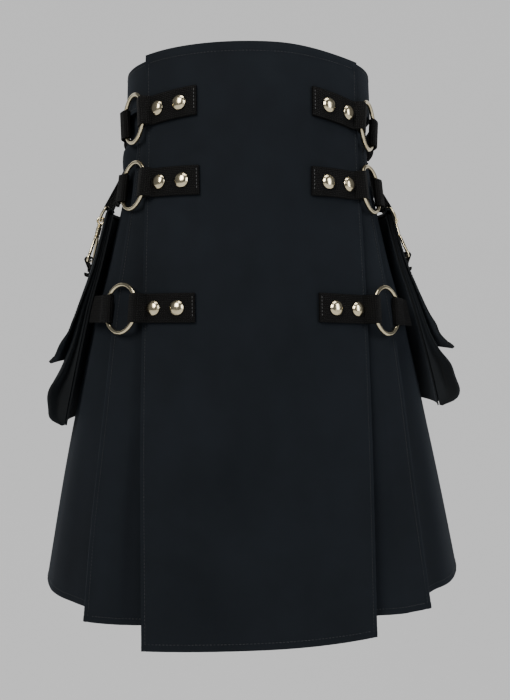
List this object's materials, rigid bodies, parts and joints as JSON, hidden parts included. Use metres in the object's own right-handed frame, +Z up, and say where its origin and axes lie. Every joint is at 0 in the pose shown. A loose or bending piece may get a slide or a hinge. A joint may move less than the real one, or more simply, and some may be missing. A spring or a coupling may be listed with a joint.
{
  "type": "gothic utility kilt in its worn form, with strap and ring closures and two hung pockets",
  "caption": "Black cotton kilt in worn form: plain front apron, webbing straps with domed snaps and round rings, knife pleats, cargo pockets hung from snap hooks.",
  "frame": {"origin": "centre of the waist at half the height of the waistband, where the wearer's waist holds the kilt", "axes": "+Z up, the front apron faces -Y, the wearer's left side is towards +X"},
  "size_m": [0.5053, 0.3387, 0.608],
  "materials": {
    "drill": "matte cotton twill, blue black",
    "pocket_cloth": "matte cotton twill, black",
    "webbing": "ribbed woven webbing, black",
    "silver_metal": "polished nickel plate"
  },
  "bodies": {
    "root": {"waistband": "drill", "skirt_left": "drill", "skirt_right": "drill", "skirt_back": "drill", "under_apron": "drill", "front_apron": "drill", "strap_left_1": "webbing", "strap_left_2": "webbing", "strap_left_3": "webbing", "strap_right_1": "webbing", "strap_right_2": "webbing", "strap_right_3": "webbing", "keeper_left_1": "webbing", "keeper_left_2": "webbing", "keeper_left_3": "webbing", "keeper_right_1": "webbing", "keeper_right_2": "webbing", "keeper_right_3": "webbing", "hanger_left_1": "webbing", "hanger_left_2": "webbing", "hanger_right_1": "webbing", "hanger_right_2": "webbing", "tab_left_1": "webbing", "tab_left_2": "webbing", "tab_right_1": "webbing", "tab_right_2": "webbing", "ring_left_1": "silver_metal", "ring_left_2": "silver_metal", "ring_left_3": "silver_metal", "ring_right_1": "silver_metal", "ring_right_2": "silver_metal", "ring_right_3": "silver_metal", "snap_left_1_1": "silver_metal", "snap_left_1_2": "silver_metal", "snap_left_2_1": "silver_metal", "snap_left_2_2": "silver_metal", "snap_left_3_1": "silver_metal", "snap_left_3_2": "silver_metal", "snap_right_1_1": "silver_metal", "snap_right_1_2": "silver_metal", "snap_right_2_1": "silver_metal", "snap_right_2_2": "silver_metal", "snap_right_3_1": "silver_metal", "snap_right_3_2": "silver_metal", "d_ring_left_1": "silver_metal", "d_ring_left_2": "silver_metal", "d_ring_right_1": "silver_metal", "d_ring_right_2": "silver_metal", "snap_hook_left_1": "silver_metal", "snap_hook_left_2": "silver_metal", "snap_hook_right_1": "silver_metal", "snap_hook_right_2": "silver_metal", "pocket_back_left": "pocket_cloth", "pocket_bag_left": "pocket_cloth", "pocket_flap_left": "pocket_cloth", "pocket_back_right": "pocket_cloth", "pocket_bag_right": "pocket_cloth", "pocket_flap_right": "pocket_cloth"}
  },
  "joints": []
}
